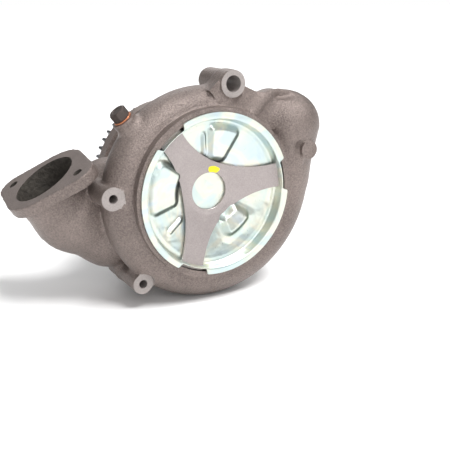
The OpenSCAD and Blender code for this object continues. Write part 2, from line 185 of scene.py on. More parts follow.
class StageSettings(bpy.types.PropertyGroup):
    lens: FloatProperty(
        name="Lens", description="Focal length of the camera",
        default=60.0, unit="CAMERA")
    camera_at: FloatVectorProperty(
        name="Camera place", description="Where the camera stands",
        default=(-0.3362, -0.7352, 0.1791), size=3, unit="LENGTH", subtype="TRANSLATION")
    look: FloatVectorProperty(
        name="Look direction", description="Direction in which the camera looks",
        default=(0.4668, 0.8370, -0.2857), size=3, subtype="DIRECTION")
    floor_colour: FloatVectorProperty(
        name="Floor", description="Colour of the floor",
        default=(0.93, 0.93, 0.93), size=3, subtype="COLOR")


# ---- mesh helpers ----


def wrapped_faces(rows, columns):
    """Quads over a grid of rows by columns points that closes on itself both ways."""
    r, c = np.arange(rows)[:, None], np.arange(columns)[None, :]
    r1, c1 = (r + 1) % rows, (c + 1) % columns
    corners = np.stack([r * columns + c, r * columns + c1, r1 * columns + c1, r1 * columns + c], -1)
    return corners.reshape(-1, 4)


def outward(points, faces):
    """The faces, turned over if the signed volume that they enclose is negative."""
    a, b, c, d = (points[faces[:, k]] for k in range(4))
    volume = np.einsum("ij,ij->", a, np.cross(b, c)) + np.einsum("ij,ij->", a, np.cross(c, d))
    return faces if volume > 0 else faces[:, ::-1]


def fill(mesh, points, faces):
    """Writes points in millimetres and quads into an empty mesh as whole arrays."""
    mesh.vertices.add(len(points))
    mesh.vertices.foreach_set("co", (points * MM).astype(np.float32).ravel())
    mesh.loops.add(faces.size)
    mesh.loops.foreach_set("vertex_index", faces.astype(np.int32).ravel())
    mesh.polygons.add(len(faces))
    mesh.polygons.foreach_set("loop_start", np.arange(0, faces.size, 4, dtype=np.int32))
    mesh.update(calc_edges=True)


def close_poles(mesh):
    """Merges the points that lie on one another, which closes seams and poles, and drops faces left flat."""
    work = bmesh.new()
    work.from_mesh(mesh)
    bmesh.ops.remove_doubles(work, verts=work.verts, dist=1e-7)
    bmesh.ops.dissolve_degenerate(work, dist=1e-7, edges=work.edges)
    work.to_mesh(mesh)
    work.free()


def add_piece(name, points, faces, slot, replaced, body="housing", crisp=35.0, skin=None, finishes=None):
    """A piece on a body of the frame, made of points and quads; edges sharper than crisp degrees stay hard. It has its
    slot's finish, or several finishes by the number that skin gives each face."""
    mesh = bpy.data.meshes.new(name)
    fill(mesh, points, outward(points, faces))
    if skin is None:
        close_poles(mesh)
    else:
        mesh.polygons.foreach_set("material_index", skin.astype(np.int32))
    for finish in finishes or (slot,):
        mesh.materials.append(bpy.data.materials[finish])
    mesh.polygons.foreach_set("use_smooth", np.ones(len(mesh.polygons), dtype=bool))
    mesh.set_sharp_from_angle(angle=math.radians(crisp))
    piece = bpy.data.objects.new(name, mesh)
    bpy.context.scene.collection.objects.link(piece)
    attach(piece, body)
    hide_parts(*replaced)
    return piece


def facing(points, at, angle):
    """Points drawn about the Z axis, turned so that it points at an angle from +X to +Z, and moved to at."""
    c, s = math.cos(math.radians(angle)), math.sin(math.radians(angle))
    x, y, z = points[:, 0], points[:, 1], points[:, 2]
    return np.stack([at[0] + s * x + c * z, at[1] + y, at[2] - c * x + s * z], -1)


# ---- distance shapes for the casting ----
# Each takes points as three arrays and gives the distance to a shape's surface, less than zero inside it.


def merge(a, b, reach):
    """Union with a fillet: the smaller distance, lowered by h*h*reach/4, where h = 1 - |a - b| / reach."""
    h = np.maximum(reach - np.abs(a - b), 0) / reach
    return np.minimum(a, b) - h * h * reach * 0.25


def bar(p, y0, y1, r, at=(0, 0), soft=0.0):
    """A round bar along Y: how far a point lies past its side and past its ends; soft rounds its edges."""
    side = np.hypot(p[0] - at[0], p[2] - at[1]) - (r - soft)
    end = np.abs(p[1] - (y0 + y1) / 2) - ((y1 - y0) / 2 - soft)
    return np.minimum(np.maximum(side, end), 0) + np.hypot(np.maximum(side, 0), np.maximum(end, 0)) - soft


def limb(p, a, b, ra, rb):
    """A round-ended bar from a to b: distance to the line's nearest point, less a radius from ra to rb."""
    a, b = np.array(a, float), np.array(b, float)
    run = b - a
    t = sum((p[k] - a[k]) * run[k] for k in range(3)) / (run @ run)
    t = np.clip(t, 0, 1)
    away = sum((p[k] - a[k] - t * run[k]) ** 2 for k in range(3))
    return np.sqrt(away) - (ra + t * (rb - ra))


def ball(p, at, r):
    """A ball: the distance to its centre, less its radius."""
    return np.sqrt(sum((p[k] - at[k]) ** 2 for k in range(3))) - r


def slab(p, outline, y0, y1):
    """A convex outline of (x, z) corners, clockwise or not, between two planes: the furthest of its sides."""
    corners = np.array(outline, float)
    middle = corners.mean(0)
    far = np.abs(p[1] - (y0 + y1) / 2) - (y1 - y0) / 2
    for a, b in zip(corners, np.roll(corners, -1, axis=0)):
        normal = np.array([b[1] - a[1], a[0] - b[0]]) / np.hypot(*(b - a))
        if normal @ (middle - a) > 0:
            normal = -normal
        far = np.maximum(far, (p[0] - a[0]) * normal[0] + (p[2] - a[1]) * normal[1])
    return far


def along(p, at, y, angle):
    """Coordinates of points in a frame whose third axis points to an angle in the plane across the shaft."""
    c, s = math.cos(math.radians(angle)), math.sin(math.radians(angle))
    dx, dz = p[0] - at[0], p[2] - at[1]
    return s * dx - c * dz, p[1] - y, c * dx + s * dz


def round_bar(q, z0, z1, r, soft=0.0):
    """A round bar along the third axis of a local frame."""
    return bar((q[0], q[2], q[1]), z0, z1, r, soft=soft)


def ring_tube(p, mid_r, tube_r):
    """A ring of round section in the volute's plane."""
    return np.hypot(np.hypot(p[0], p[2]) - mid_r, p[1] - VOLUTE_Y) - tube_r


def turn_share(p, start, turn):
    """How far round the shaft a point lies from a start angle, as a share of a turn in degrees."""
    return np.mod(np.degrees(np.arctan2(p[2], p[0])) - start, 360) / turn


def scroll(p, start=80.0, turn=285.0):
    """A tube round the shaft with outer radius 102 + 21 f**1.8 and section radius 22 + 6 f, where f is the
    share of its turn; a ball closes each end."""
    share = turn_share(p, start, turn)
    f = np.clip(share, 0, 1)
    tube = 22 + 6 * f
    inside_turn = ring_tube(p, 102 + 21 * f**1.8 - tube, tube)
    ends = [
        ball(p, (r * math.cos(math.radians(a)), VOLUTE_Y, r * math.sin(math.radians(a))), tube_r)
        for r, a, tube_r in ((80, start, 22), (95, start + turn, 28))
    ]
    return np.where(share <= 1, inside_turn, np.minimum(*ends))


def inlet_frame(p):
    """Coordinates from the middle of the inlet flange's face, the third along the inlet's axis."""
    return along(p, INLET_AT, DUCT_Y, INLET_ANGLE)


def plug_frame(p):
    """Coordinates from the middle of the plug boss's face, the third along the plug's axis."""
    return along(p, (PLUG_AT[0], PLUG_AT[2]), PLUG_AT[1], PLUG_ANGLE)


def two_bolt_plate(p):
    """The inlet flange, as the distance to an uneven capsule: round middle and ends, joined by tangents."""
    u, v, w = inlet_frame(p)
    t = math.radians(FLANGE_TWIST)
    far = np.abs(u * math.cos(t) + v * math.sin(t))
    wide = np.abs(v * math.cos(t) - u * math.sin(t))
    mid_r, end_r, reach = 42.5, 15.0, INLET_BOLT_REACH
    lean = (mid_r - end_r) / reach
    rise = math.sqrt(1 - lean * lean)
    k = far * rise - wide * lean
    middle, end = np.hypot(wide, far) - mid_r, np.hypot(wide, far - reach) - end_r
    flat = np.where(k < 0, middle, np.where(k > rise * reach, end, wide * rise + far * lean - mid_r))
    middle_w, half_t, soft = -5.5, 4.0, 1.5
    depth = np.abs(w - middle_w) - half_t
    return np.minimum(np.maximum(flat, depth), 0) + np.hypot(np.maximum(flat, 0), np.maximum(depth, 0)) - soft


def inlet_pipe(p):
    """The elbow's outside: a pipe from the flange to its bend, and three limbs that fan out into the body."""
    mid, end, top = ((at[0], DUCT_Y, at[1]) for at in (ELBOW_MID, ELBOW_END, ELBOW_TOP))
    pipe = np.minimum(round_bar(inlet_frame(p), -46, -4, 37), ball(p, mid, 37))
    fan = merge(limb(p, mid, end, 36.5, 36), limb(p, mid, top, 36.5, 34), 10)
    return merge(pipe, merge(fan, limb(p, end, top, 35, 34), 10), 6)


def outlet_dome(p):
    """The bulge that turns the flow to the rear port: two limbs and a bar down to the port's face."""
    mid, end = (OUTLET_AT[0], VOLUTE_Y, OUTLET_AT[1]), (SCROLL_END[0], VOLUTE_Y, SCROLL_END[1])
    dome = limb(p, mid, end, 35, 27)
    return merge(dome, bar(p, VOLUTE_Y, PORT_Y, 34, OUTLET_AT), 4)


def on_ear_circle(angle, r, aside=0.0):
    """The (x, z) place at an angle and radius, moved sideways along the turn."""
    c, s = math.cos(math.radians(angle)), math.sin(math.radians(angle))
    return r * c - aside * s, r * s + aside * c


def rear_ear(p, angle):
    """A round ear of the rear flange, with straight sides that run inwards to the body."""
    ear = bar(p, EAR_FRONT_Y, 0, EAR_R, on_ear_circle(angle, EAR_CIRCLE_R), soft=0.8)
    corners = ((60, 10), (EAR_CIRCLE_R, 10), (EAR_CIRCLE_R, -10), (60, -10))
    sides = [on_ear_circle(angle, r, aside) for r, aside in corners]
    return np.minimum(ear, slab(p, sides, EAR_FRONT_Y, -1))


def cast_body(p, fillet):
    """Every cast shape of the housing, merged one after another with fillets."""
    d = merge(bar(p, RING_Y, EYE_WALL[1], RING_R, soft=1.4), scroll(p), 2.0)
    d = merge(d, bar(p, VOLUTE_Y, FLANGE_FRONT_Y, BODY_R), 14)
    d = merge(d, bar(p, FLANGE_FRONT_Y, 0, REAR_FLANGE_R, soft=1.0), 4)
    for angle in REAR_EARS:
        d = merge(d, rear_ear(p, angle), 5)
    d = merge(d, inlet_pipe(p), 0.7 * fillet)
    d = merge(d, two_bolt_plate(p), 4)
    d = outlet_side(p, d, fillet)
    d = lug_side(p, d)
    d = merge(d, bar(p, LEFT_BOSS_Y, DUCT_Y, LEFT_BOSS_R, LEFT_BOSS_AT, soft=0.8), 3)
    at, shrink, leg_y = BOTTOM_BOSS_AT, 0.7, -52
    d = merge(d, limb(p, (at[0], leg_y, at[1]), (at[0] * shrink, leg_y, at[1] * shrink), 9, 12), 8)
    d = merge(d, bar(p, BOTTOM_BOSS_Y, DUCT_Y + 10, BOTTOM_BOSS_R, at, soft=0.8), 5)
    return merge(d, round_bar(plug_frame(p), -26, 0, PLUG_BOSS_R, soft=0.8), 5)


def outlet_side(p, d, fillet):
    """The outlet dome with the raised seam over its shoulder, and the round side pad in its own hollow."""
    d = merge(d, outlet_dome(p), fillet)
    crest = [(50, -101, 74), (60, -101, 86.5), (69, -99.5, 92.5), (82, -95, 92.5), (95, -95, 90.5),
             (106, -99, 85)]
    seam_r, first_r, last_r = 2.4, 1.2, 1.0
    seam = limb(p, crest[0], crest[1], first_r, seam_r)
    for a, b in zip(crest[1:-1], crest[2:]):
        seam = np.minimum(seam, limb(p, a, b, seam_r, seam_r if b != crest[-1] else last_r))
    shoulder = slab(p, [(58, 60), (67, 88), (72, 90.5), (95, 89), (104, 66)], -94, -82)
    d = merge(merge(d, shoulder, 8), seam, 4)
    hollow = limb(p, (95.5, -121, 38), (94.5, -121, 25), 7.2, 6.0)
    d = -merge(-d, hollow, 3)
    d = merge(d, bar(p, SIDE_PAD_Y, VOLUTE_Y, SIDE_PAD_R, SIDE_PAD_AT, soft=0.6), 1.5)
    return merge(d, limb(p, (100, -113.5, 27), (97, -112.5, 12), 3.0, 1.5), 3)


def lug_side(p, d):
    """The top lug: a bar with a collar, a web down to the scroll, and a saddle towards the outlet."""
    front, back = LUG_Y
    saddle = slab(p, [(22, 105), (8, 80), (60, 56), (88, 78), (38, 101)], front + 7, back - 8)
    d = merge(d, saddle, 12)
    web = slab(p, [(15.5, 114), (-2, 98.5), (12, 84), (34, 92)], front + 2.5, front + 20)
    d = merge(d, web, 4)
    barrel = bar(p, front + 4, back, 12.2, LUG_AT, soft=4)
    collar = bar(p, front, front + 18, 13.0, LUG_AT, soft=0.8)
    return merge(d, merge(barrel, collar, 3), 4)


def bores(p):
    """The machined openings and spot faces, each as its own distance shape."""
    past = 5.0  # how far a hole runs on in front of its face
    spot = 12.0  # how far in front of a boss the spot face clears
    holes = [
        bar(p, RING_Y - past, RING_Y + 14, COVER_BORE_R),
        bar(p, -115.3, -111.1, 78.4),
        bar(p, RING_Y, EYE_WALL[0], 66),
        bar(p, LEDGE_Y, 20, 62),
        bar(p, PORT_Y - 12, PORT_Y + 9, PORT_R, OUTLET_AT),
        bar(p, LUG_Y[0] - past, LUG_Y[1] + past, LUG_HOLE_R, LUG_AT),
        bar(p, LUG_Y[0] - spot, LUG_Y[0], 14, LUG_AT),
        bar(p, LEFT_BOSS_Y - spot, LEFT_BOSS_Y, 11.5, LEFT_BOSS_AT),
        bar(p, BOTTOM_BOSS_Y - spot, BOTTOM_BOSS_Y, 11, BOTTOM_BOSS_AT),
        bar(p, LEFT_BOSS_Y - past, LEFT_BOSS_Y + TAP_DEPTH, TAP_R, LEFT_BOSS_AT),
        bar(p, BOTTOM_BOSS_Y - past, BOTTOM_BOSS_Y + TAP_DEPTH, TAP_R, BOTTOM_BOSS_AT),
    ]
    for angle in REAR_EARS:
        holes.append(bar(p, -TAP_DEPTH, past, TAP_R, on_ear_circle(angle, EAR_CIRCLE_R)))
    t = math.radians(FLANGE_TWIST)
    u, v, w = inlet_frame(p)
    for side in (-INLET_BOLT_REACH, INLET_BOLT_REACH):
        at = (u - side * math.cos(t), v - side * math.sin(t), w)
        holes.append(round_bar(at, -20, past, INLET_BOLT_R))
    holes.append(round_bar(plug_frame(p), -19, past, PLUG_THREAD_R + 0.1))
    return holes


def passages(p):
    """The cast water passages, joined with small fillets: inlet, inlet chamber and eye, volute and outlet."""
    mid, end = (ELBOW_MID[0], DUCT_Y, ELBOW_MID[1]), (ELBOW_END[0], DUCT_Y, ELBOW_END[1])
    duct = merge(round_bar(inlet_frame(p), -46, 6, INLET_R), ball(p, mid, INLET_R + 0.2), 1)
    duct = merge(duct, limb(p, mid, end, 31, 30), 4)
    duct = merge(duct, limb(p, end, (0, DUCT_Y, -22), 24, 24), 6)
    eye = bar(p, EYE_WALL[0] - 1, EYE_WALL[1] + 1, 34)
    chamber = np.minimum(bar(p, EYE_WALL[1], LEDGE_Y + 1, 52), eye)
    channel = ring_tube(p, 77, 16)
    scroll_end, dome = (SCROLL_END[0], VOLUTE_Y, SCROLL_END[1]), (OUTLET_AT[0], VOLUTE_Y, OUTLET_AT[1])
    way_out = limb(p, scroll_end, dome, 20, OUTLET_R)
    way_out = np.minimum(way_out, bar(p, VOLUTE_Y, PORT_Y + 5, OUTLET_R, OUTLET_AT))
    nowhere = 50.0
    late = np.where(turn_share(p, -70, 75) <= 1, ring_tube(p, 87, 19), nowhere)
    return np.minimum(merge(duct, chamber, 3), np.minimum(merge(channel, way_out, 2), late))


def casting(p, fillet):
    """The housing: cast body and machined pilot, less the passages, the bores and the seal groove."""
    d = np.minimum(cast_body(p, fillet), bar(p, -1, PILOT_LENGTH, PILOT_R))
    away = np.hypot(p[0], p[2])
    groove_y, half_width, floor_r, past_r = 3.5, 1.5, 73.8, 80
    groove = np.maximum(np.abs(p[1] - groove_y) - half_width, np.maximum(floor_r - away, away - past_r))
    d = np.maximum(d, -groove)
    d = np.maximum(d, -passages(p))
    for hole in bores(p):
        d = np.maximum(d, -hole)
    return d


def crossings(values, axis, origin, cell, distance):
    """Where the lattice edges along one axis cross the skin: cell indices, points, normals and direction."""
    low = np.take(values, range(values.shape[axis] - 1), axis)
    high = np.take(values, range(1, values.shape[axis]), axis)
    index = np.argwhere((low < 0) != (high < 0))
    a, b = low[tuple(index.T)].astype(float), high[tuple(index.T)].astype(float)
    start = origin + index * cell
    share = a / (a - b)
    t0, t1 = np.zeros_like(share), np.ones_like(share)
    for _ in range(3):  # rounds of false position
        at = start.copy()
        at[:, axis] += share * cell
        d = distance(at.T)
        same = (d < 0) == (a < 0)
        t0, t1 = np.where(same, share, t0), np.where(same, t1, share)
        a, b = np.where(same, d, a), np.where(same, b, d)
        share = t0 + (t1 - t0) * a / np.where(a == b, 1, a - b)
    at = start.copy()
    at[:, axis] += share * cell
    step = 0.02
    slope = np.stack([distance((at + step * e).T) - distance((at - step * e).T) for e in np.eye(3)], -1)
    normal = slope / np.maximum(np.linalg.norm(slope, axis=1, keepdims=True), 1e-9)
    return index, at, normal, low[tuple(index.T)] < 0


def skin_of(distance, low, high, cell):
    """Dual contouring: one point in each lattice cell that the skin crosses, where the tangent planes of the
    crossings on the cell's edges meet best (least squares), and one quad across each crossed edge."""
    axes = [np.arange(low[k], high[k] + cell, cell) for k in range(3)]
    origin = np.array([a[0] for a in axes])
    shape = tuple(len(a) for a in axes)
    values = np.empty(shape, np.float32)
    for i, x in enumerate(axes[0]):
        y, z = np.meshgrid(axes[1], axes[2], indexing="ij")
        values[i] = distance((np.full_like(y, x), y, z))
    keys, points, normals, quads = [], [], [], []
    for axis in range(3):
        index, at, normal, rising = crossings(values, axis, origin, cell, distance)
        one, two = [k for k in range(3) if k != axis]
        corners = []
        for d1, d2 in ((0, 0), (1, 0), (1, 1), (0, 1)):
            near = index.copy()
            near[:, one] -= d1
            near[:, two] -= d2
            corners.append(np.ravel_multi_index(tuple(near.T), shape))
        ring = np.stack(corners, -1)
        flip = rising if axis != 1 else ~rising
        quads.append(np.where(flip[:, None], ring[:, ::-1], ring))
        keys += corners
        points += [at] * 4
        normals += [normal] * 4
    keys, points, normals = np.concatenate(keys), np.concatenate(points), np.concatenate(normals)
    cells, member = np.unique(keys, return_inverse=True)
    count = np.bincount(member)
    total = lambda w: np.bincount(member, weights=w, minlength=len(cells))
    middle = np.stack([total(points[:, k]) / count for k in range(3)], -1)
    offset = np.einsum("ij,ij->i", normals, points - middle[member])
    square = np.stack([total(normals[:, i] * normals[:, j]) for i in range(3) for j in range(3)], -1)
    pull = np.stack([total(normals[:, k] * offset) for k in range(3)], -1)
    size, axis_of = np.linalg.eigh(square.reshape(-1, 3, 3))
    weakest = 0.08  # directions with less say than this share of the strongest stay at the middle
    keep = size > weakest * size[:, 2:3]
    inverse = np.where(keep, 1 / np.where(keep, size, 1), 0)
    along_axes = np.einsum("nij,ni->nj", axis_of, pull) * inverse
    vertex = middle + np.einsum("nij,nj->ni", axis_of, along_axes)
    corner = origin + np.stack(np.unravel_index(cells, shape), -1) * cell
    vertex = np.clip(vertex, corner, corner + cell)
    faces = np.searchsorted(cells, np.concatenate(quads))
    return vertex, faces


# ---- materials ----


def add_node(tree, kind, values=None, **settings):
    """A node of one kind, with its settings; each input in values is linked to a socket or given a number."""
    made = tree.nodes.new(kind)
    for key, value in settings.items():
        setattr(made, key, value)
    for key, value in (values or {}).items():
        if isinstance(value, bpy.types.NodeSocket):
            tree.links.new(value, made.inputs[key])
        else:
            made.inputs[key].default_value = value
    return made


def blend_colours(tree, share, one, two):
    """The colour socket of a mix from one to two."""
    mix = add_node(tree, "ShaderNodeMix", data_type="RGBA")
    for key, value in ((0, share), (6, one), (7, two)):
        if isinstance(value, bpy.types.NodeSocket):
            tree.links.new(value, mix.inputs[key])
        else:
            mix.inputs[key].default_value = value
    return mix.outputs[2]


def blend_numbers(tree, share, one, two):
    """A number that runs from one to two as share runs from 0 to 1."""
    values = {"Value": share, "To Min": one, "To Max": two}
    return add_node(tree, "ShaderNodeMapRange", values).outputs["Result"]


def new_group(name, inputs, outputs):
    """An empty node group with named inputs (name, kind, default) and outputs (name, kind)."""
    tree = bpy.data.node_groups.new(name, "ShaderNodeTree")
    for label, kind, value in inputs:
        socket = tree.interface.new_socket(label, in_out="INPUT", socket_type=kind)
        socket.default_value = value
    for label, kind in outputs:
        tree.interface.new_socket(label, in_out="OUTPUT", socket_type=kind)
    return tree, tree.nodes.new("NodeGroupInput"), tree.nodes.new("NodeGroupOutput")


NUMBER, COLOUR = "NodeSocketFloat", "NodeSocketColor"


def grain_group():
    """Mottled skin: broad patches and fine grains of a given size give a colour, a roughness and a height."""
    tree, given, out = new_group(
        "grain",
        [("Light", COLOUR, (0.5, 0.5, 0.5, 1)), ("Dark", COLOUR, (0.2, 0.2, 0.2, 1)),
         ("Grains per metre", NUMBER, 900.0), ("Patches per metre", NUMBER, 30.0),
         ("Smoothest", NUMBER, 0.4), ("Roughest", NUMBER, 0.7)],
        [("Colour", COLOUR), ("Roughness", NUMBER), ("Height", NUMBER)],
    )
    place = add_node(tree, "ShaderNodeTexCoord").outputs["Object"]
    fine = add_node(tree, "ShaderNodeTexNoise", {
        "Vector": place, "Scale": given.outputs["Grains per metre"], "Detail": 3.0, "Roughness": 0.7})
    broad = add_node(tree, "ShaderNodeTexNoise", {
        "Vector": place, "Scale": given.outputs["Patches per metre"], "Detail": 4.0, "Roughness": 0.55})
    share = add_node(tree, "ShaderNodeMath", {0: broad.outputs["Fac"], 1: 0.5, 2: fine.outputs["Fac"]},
                     operation="MULTIPLY_ADD")
    spread = add_node(tree, "ShaderNodeMapRange", {
        "Value": share.outputs[0], "From Min": 0.45, "From Max": 1.05})
    colour = blend_colours(tree, spread.outputs["Result"], given.outputs["Dark"], given.outputs["Light"])
    rough = add_node(tree, "ShaderNodeMapRange", {
        "Value": fine.outputs["Fac"], "From Min": 0.3, "From Max": 0.7,
        "To Min": given.outputs["Smoothest"], "To Max": given.outputs["Roughest"]})
    tree.links.new(colour, out.inputs["Colour"])
    tree.links.new(rough.outputs["Result"], out.inputs["Roughness"])
    tree.links.new(fine.outputs["Fac"], out.inputs["Height"])
    return tree


def lathe_group():
    """Turning marks: rings about the shaft, from a noise of the radius alone, as a height and a mask."""
    tree, given, out = new_group(
        "lathe_marks", [("Rings per metre", NUMBER, 1500.0)], [("Height", NUMBER), ("Mask", NUMBER)]
    )
    place = add_node(tree, "ShaderNodeTexCoord").outputs["Object"]
    parts = add_node(tree, "ShaderNodeSeparateXYZ", {0: place})
    flat = add_node(tree, "ShaderNodeCombineXYZ", {"X": parts.outputs["X"], "Z": parts.outputs["Z"]})
    radius = add_node(tree, "ShaderNodeVectorMath", {0: flat.outputs[0]}, operation="LENGTH")
    rings = add_node(tree, "ShaderNodeTexNoise", {
        "W": radius.outputs["Value"], "Scale": given.outputs["Rings per metre"], "Detail": 2.0},
        noise_dimensions="1D")
    broad = add_node(tree, "ShaderNodeTexNoise", {"Vector": place, "Scale": 60.0, "Detail": 3.0})
    tree.links.new(rings.outputs["Fac"], out.inputs["Height"])
    tree.links.new(broad.outputs["Fac"], out.inputs["Mask"])
    return tree


def start_material(name):
    """An empty procedural material: the material, its node tree and its shader. The frame's plain material of
    that name gives the name up."""
    plain = bpy.data.materials.get(name)
    if plain:
        plain.name = "plain_" + name
    material = bpy.data.materials.new(name)
    material.use_nodes = True
    return material, material.node_tree, material.node_tree.nodes["Principled BSDF"]


def bump(tree, shader, height, distance, strength=1.0):
    """Feeds a height to the shader's normal."""
    node = add_node(tree, "ShaderNodeBump", {"Height": height, "Distance": distance, "Strength": strength})
    tree.links.new(node.outputs["Normal"], shader.inputs["Normal"])


def grained(name, light, dark, metallic, rough, grains, depth, patches=30.0, specular=0.5):
    """A material with a mottled, grained skin."""
    material, tree, shader = start_material(name)
    shader.inputs["Metallic"].default_value = metallic
    shader.inputs["Specular IOR Level"].default_value = specular
    group = add_node(tree, "ShaderNodeGroup", node_tree=bpy.data.node_groups["grain"])
    values = {"Light": (*light, 1), "Dark": (*dark, 1), "Grains per metre": grains,
              "Patches per metre": patches, "Smoothest": rough[0], "Roughest": rough[1]}
    for key, value in values.items():
        group.inputs[key].default_value = value
    tree.links.new(group.outputs["Colour"], shader.inputs["Base Color"])
    tree.links.new(group.outputs["Roughness"], shader.inputs["Roughness"])
    bump(tree, shader, group.outputs["Height"], depth)
    return material


def turned_metal(name, light, dark, rough, rings=1500.0, depth=0.00004, metallic=1.0):
    """A metal that shows the rings of a lathe tool and a faint stain."""
    material, tree, shader = start_material(name)
    shader.inputs["Metallic"].default_value = metallic
    group = add_node(tree, "ShaderNodeGroup", node_tree=bpy.data.node_groups["lathe_marks"])
    group.inputs["Rings per metre"].default_value = rings
    mask = add_node(tree, "ShaderNodeMapRange", {
        "Value": group.outputs["Mask"], "From Min": 0.35, "From Max": 0.65})
    colour = blend_colours(tree, mask.outputs["Result"], (*dark, 1), (*light, 1))
    tree.links.new(colour, shader.inputs["Base Color"])
    tree.links.new(blend_numbers(tree, group.outputs["Height"], *rough), shader.inputs["Roughness"])
    bump(tree, shader, group.outputs["Height"], depth)
    return material


def zinc_sheet(name):
    """Plated sheet: pale metal whose film shifts between cool, green and warm tints, with drawn smears; painted shade
    and painted dark reflection turn it dark green-grey on the walls of the pads, where the mesh's painted-shade
    attribute is high."""
    material, tree, shader = start_material(name)
    shader.inputs["Metallic"].default_value = 0.92
    place = add_node(tree, "ShaderNodeTexCoord").outputs["Object"]
    film = add_node(tree, "ShaderNodeTexNoise", {
        "Vector": place, "Scale": 26.0, "Detail": 3.0, "Distortion": 1.2})
    ramp = add_node(tree, "ShaderNodeValToRGB", {"Fac": film.outputs["Fac"]})
    tints = [(0.30, (0.55, 0.66, 0.70, 1)), (0.45, (0.62, 0.71, 0.67, 1)),
             (0.58, (0.76, 0.76, 0.65, 1)), (0.72, (0.62, 0.70, 0.75, 1))]
    ramp.color_ramp.elements[0].position, ramp.color_ramp.elements[0].color = tints[0]
    ramp.color_ramp.elements[1].position, ramp.color_ramp.elements[1].color = tints[-1]
    for position, colour in tints[1:-1]:
        ramp.color_ramp.elements.new(position).color = colour
    # Painted shade and painted dark reflection: the per-point attribute blends the sheet towards dark green-grey on
    # the pad walls.
    painted_shade = add_node(tree, "ShaderNodeAttribute", attribute_name="painted_shade")
    colour = blend_colours(tree, painted_shade.outputs["Fac"], ramp.outputs["Color"], (0.07, 0.09, 0.08, 1))
    tree.links.new(colour, shader.inputs["Base Color"])
    stretch = add_node(tree, "ShaderNodeMapping", {"Vector": place, "Scale": (900.0, 300.0, 120.0)})
    smear = add_node(tree, "ShaderNodeTexNoise", {"Vector": stretch.outputs[0], "Scale": 1.0, "Detail": 3.0})
    tree.links.new(blend_numbers(tree, smear.outputs["Fac"], 0.2, 0.46), shader.inputs["Roughness"])
    dents = add_node(tree, "ShaderNodeTexNoise", {"Vector": place, "Scale": 70.0, "Detail": 2.0})
    bump(tree, shader, dents.outputs["Fac"], 0.0016, 0.8)
    return material


# grained finishes: light and dark colour, metallic share, roughness range, grains per metre, depth of the
# grain in metres and, where they differ from the usual, patches per metre and specular level
GRAINED = {
    "cast_inside": ((0.075, 0.066, 0.055), (0.022, 0.019, 0.017), 0.0, (0.4, 0.6), 260.0, 0.0012, 60.0, 0.4),
    "machined_iron": ((0.40, 0.36, 0.345), (0.24, 0.212, 0.2), 0.3, (0.34, 0.5), 900.0, 0.00008, 60.0),
    "flange_face": ((0.25, 0.21, 0.195), (0.14, 0.115, 0.105), 0.35, (0.34, 0.5), 700.0, 0.0003, 60.0),
    "impeller_iron": ((0.36, 0.33, 0.31), (0.25, 0.22, 0.2), 0.4, (0.4, 0.6), 900.0, 0.0002),
    "spring_steel": ((0.44, 0.39, 0.38), (0.30, 0.265, 0.26), 0.5, (0.34, 0.48), 700.0, 0.00003, 40.0),
    "blackened_steel": ((0.11, 0.085, 0.075), (0.05, 0.04, 0.037), 0.5, (0.35, 0.55), 1300.0, 0.00008),
    "brass_cage": ((0.62, 0.42, 0.16), (0.48, 0.31, 0.11), 1.0, (0.25, 0.4), 1200.0, 0.00003),
    "copper": ((0.80, 0.36, 0.20), (0.58, 0.22, 0.12), 1.0, (0.28, 0.45), 800.0, 0.00005, 120.0),
    "black_rubber": ((0.035, 0.035, 0.036), (0.02, 0.02, 0.021), 0.0, (0.45, 0.6), 2500.0, 0.00003),
    "carbon": ((0.07, 0.07, 0.073), (0.04, 0.04, 0.042), 0.1, (0.3, 0.45), 3000.0, 0.00002),
    "seal_ceramic": ((0.82, 0.79, 0.72), (0.74, 0.7, 0.62), 0.0, (0.25, 0.35), 1500.0, 0.00002),
}
# turned finishes: light and dark colour, roughness range and, where it differs, rings per metre
TURNED = {
    "gear_steel": ((0.20, 0.20, 0.21), (0.12, 0.12, 0.125), (0.28, 0.45)),
    "ground_steel": ((0.62, 0.62, 0.63), (0.48, 0.48, 0.49), (0.2, 0.36)),
    "seal_steel": ((0.66, 0.64, 0.6), (0.54, 0.52, 0.48), (0.22, 0.4)),
    "bearing_steel": ((0.72, 0.73, 0.75), (0.6, 0.61, 0.63), (0.1, 0.2), 2500.0),
}


def make_materials():
    """Every finish by its slot's name."""
    grain_group()
    lathe_group()
    cast, paint = bpy.context.scene.pump_casting, bpy.context.scene.pump_cover.paint
    cast_skin = (tuple(cast.light), tuple(cast.dark), 0.5, (0.3, 0.5), 620.0, 0.0008, 22.0)
    paint_skin = (tuple(paint), (0.85, 0.7, 0.01), 0.0, (0.35, 0.5), 500.0, 0.0001, 200.0)
    made = {name: grained(name, *values) for name, values in GRAINED.items()}
    made.update((name, turned_metal(name, *values)) for name, values in TURNED.items())
    made["cast_housing"] = grained("cast_housing", *cast_skin)
    made["yellow_paint"] = grained("yellow_paint", *paint_skin)
    made["zinc_plated_sheet"] = zinc_sheet("zinc_plated_sheet")
    return made


# ---- operators ----

FINISH_OF = {part["node"]: part["material_slot"] for part in frame["record"]["subparts"]}


class PUMP_OT_finishes(bpy.types.Operator):
    """Make the materials and give every CAD piece its own finish"""

    bl_idname = "pump.finishes"
    bl_label = "Finishes"

    def execute(self, context):
        materials = make_materials()
        for name, slot in FINISH_OF.items():
            node = frame["nodes"][name]
            node.data.materials.clear()
            node.data.materials.append(materials[slot])
        return {"FINISHED"}


